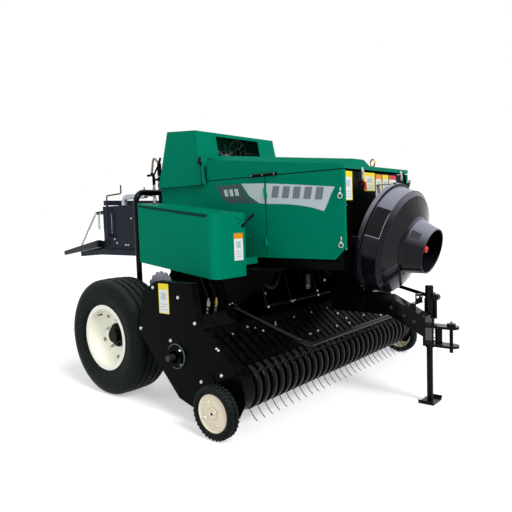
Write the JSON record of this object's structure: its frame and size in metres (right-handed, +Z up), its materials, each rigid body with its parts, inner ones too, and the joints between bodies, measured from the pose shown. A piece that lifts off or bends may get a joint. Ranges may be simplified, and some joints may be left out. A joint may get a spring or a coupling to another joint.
{
  "type": "small square baler",
  "caption": "Towed in-line square baler: front pickup, flywheel guard, knotter hood, twine boxes, bale chamber, chute, drawbar and jack, with lids and doors that open.",
  "frame": {"origin": "on the ground at the centre of the outline, standing on its wheels and its jack", "axes": "+Z up, -Y towards the hitch, +X towards the machine's left side"},
  "size_m": [2.206, 3.832, 1.745],
  "materials": {
    "tyre": "matte",
    "rim_cream": "gloss",
    "gauge_cream": "gloss",
    "green_panel": "gloss",
    "dark_paint": "satin",
    "black_plate": "satin",
    "guard_plastic": "matte",
    "steel": "satin",
    "cast": "matte",
    "black_plastic": "gloss",
    "zinc": "satin"
  },
  "bodies": {
    "root": {"axle_beam": "dark_paint", "body_frame": "dark_paint", "chamber_floor": "dark_paint", "chamber_pipe": "zinc", "chamber_roof": "dark_paint", "chamber_wall_left": "dark_paint", "chamber_wall_right": "dark_paint", "drawbar": "dark_paint", "feeder_housing": "dark_paint", "flywheel_guard": "guard_plastic", "front_panel": "black_plate", "gearbox": "cast", "hitch_clevis": "dark_paint", "hitch_pin": "black_plate", "jack_sleeve": "dark_paint", "knotters": "steel", "length_trip": "dark_paint", "needle_yoke": "dark_paint", "pickup_pivot_tube": "steel", "plunger": "steel", "rear_panel_left": "green_panel", "rear_panel_right": "green_panel", "sprocket_bracket": "black_plate", "support_hoop": "dark_paint", "tension_gear": "dark_paint", "twine_box_left": "green_panel", "twine_box_right": "green_panel"},
    "wheel_right": {"tyre_right": "tyre", "rim_right": "rim_cream", "hub_right": "black_plastic"},
    "wheel_left": {"tyre_left": "tyre", "rim_left": "rim_cream", "hub_left": "black_plastic"},
    "pickup": {"pickup_side_right": "black_plate", "pickup_side_left": "black_plate", "pickup_frame": "black_plate", "pickup_bands": "black_plate", "windguard": "black_plate", "windguard_fingers": "black_plate"},
    "gauge_wheel_right": {"gauge_tyre_right": "tyre", "gauge_disc_right": "gauge_cream"},
    "gauge_wheel_left": {"gauge_tyre_left": "tyre", "gauge_disc_left": "gauge_cream"},
    "reel": {"reel_shaft": "steel", "tine_bars": "steel"},
    "flywheel": {"flywheel": "cast", "shaft_cap": "black_plastic"},
    "fan": {"fan": "black_plastic"},
    "drive_sprocket": {"drive_sprocket": "zinc"},
    "jack_leg": {"jack_leg": "steel"},
    "door_right": {"side_door_right": "green_panel"},
    "door_left": {"side_door_left": "green_panel"},
    "top_cover": {"top_cover": "green_panel"},
    "knotter_hood": {"knotter_hood": "green_panel"},
    "twine_lid_right": {"twine_lid_right": "green_panel"},
    "twine_lid_left": {"twine_lid_left": "green_panel"},
    "bale_chute": {"bale_chute": "dark_paint"}
  },
  "joints": [
    {"name": "wheel_right_spin", "type": "hinge", "parent": "root", "child": "wheel_right", "pos_m": [-0.856, 0.026, 0.38], "axis": [1, 0, 0], "continuous": true},
    {"name": "wheel_left_spin", "type": "hinge", "parent": "root", "child": "wheel_left", "pos_m": [0.856, 0.026, 0.38], "axis": [1, 0, 0], "continuous": true},
    {"name": "pickup_lift", "type": "hinge", "parent": "root", "child": "pickup", "pos_m": [0, -0.696, 0.368], "axis": [-1, 0, 0], "range_deg": [0, 8]},
    {"name": "gauge_right_spin", "type": "hinge", "parent": "pickup", "child": "gauge_wheel_right", "pos_m": [-1.07, -1.057, 0.1425], "axis": [1, 0, 0], "continuous": true},
    {"name": "gauge_left_spin", "type": "hinge", "parent": "pickup", "child": "gauge_wheel_left", "pos_m": [1.07, -1.057, 0.1425], "axis": [1, 0, 0], "continuous": true},
    {"name": "reel_spin", "type": "hinge", "parent": "pickup", "child": "reel", "pos_m": [0, -1.064, 0.237], "axis": [1, 0, 0], "continuous": true},
    {"name": "flywheel_spin", "type": "hinge", "parent": "root", "child": "flywheel", "pos_m": [0, -1.50953, 0.97524], "axis": [0, -0.9632, -0.2689], "continuous": true},
    {"name": "fan_spin", "type": "hinge", "parent": "root", "child": "fan", "pos_m": [0, -0.196, 1.575], "axis": [0, 1, 0], "continuous": true},
    {"name": "sprocket_spin", "type": "hinge", "parent": "root", "child": "drive_sprocket", "pos_m": [-0.646, -0.174, 0.65], "axis": [1, 0, 0], "continuous": true},
    {"name": "jack_slide", "type": "slide", "parent": "root", "child": "jack_leg", "axis": [0, 0, 1], "range_m": [0, 0.24]},
    {"name": "door_right_hinge", "type": "hinge", "parent": "root", "child": "door_right", "pos_m": [-0.412, -0.893, 1.127], "axis": [0, 0, -1], "range_deg": [0, 90]},
    {"name": "door_left_hinge", "type": "hinge", "parent": "root", "child": "door_left", "pos_m": [0.412, -0.893, 1.127], "axis": [0, 0, 1], "range_deg": [0, 90]},
    {"name": "cover_hinge", "type": "hinge", "parent": "root", "child": "top_cover", "pos_m": [0, -0.389, 1.522], "axis": [-1, 0, 0], "range_deg": [0, 50]},
    {"name": "hood_hinge", "type": "hinge", "parent": "root", "child": "knotter_hood", "pos_m": [0, 0.076, 1.357], "axis": [-1, 0, 0], "range_deg": [0, 38]},
    {"name": "twine_lid_right_hinge", "type": "hinge", "parent": "root", "child": "twine_lid_right", "pos_m": [-0.554, -0.754, 1.15643], "axis": [0, 0.9924, 0.1233], "range_deg": [0, 100]},
    {"name": "twine_lid_left_hinge", "type": "hinge", "parent": "root", "child": "twine_lid_left", "pos_m": [0.554, -0.754, 1.15643], "axis": [0, -0.9924, -0.1233], "range_deg": [0, 100]},
    {"name": "chute_fold", "type": "hinge", "parent": "root", "child": "bale_chute", "pos_m": [0, 1.09, 0.942], "axis": [1, 0, 0], "range_deg": [0, 62]}
  ]
}
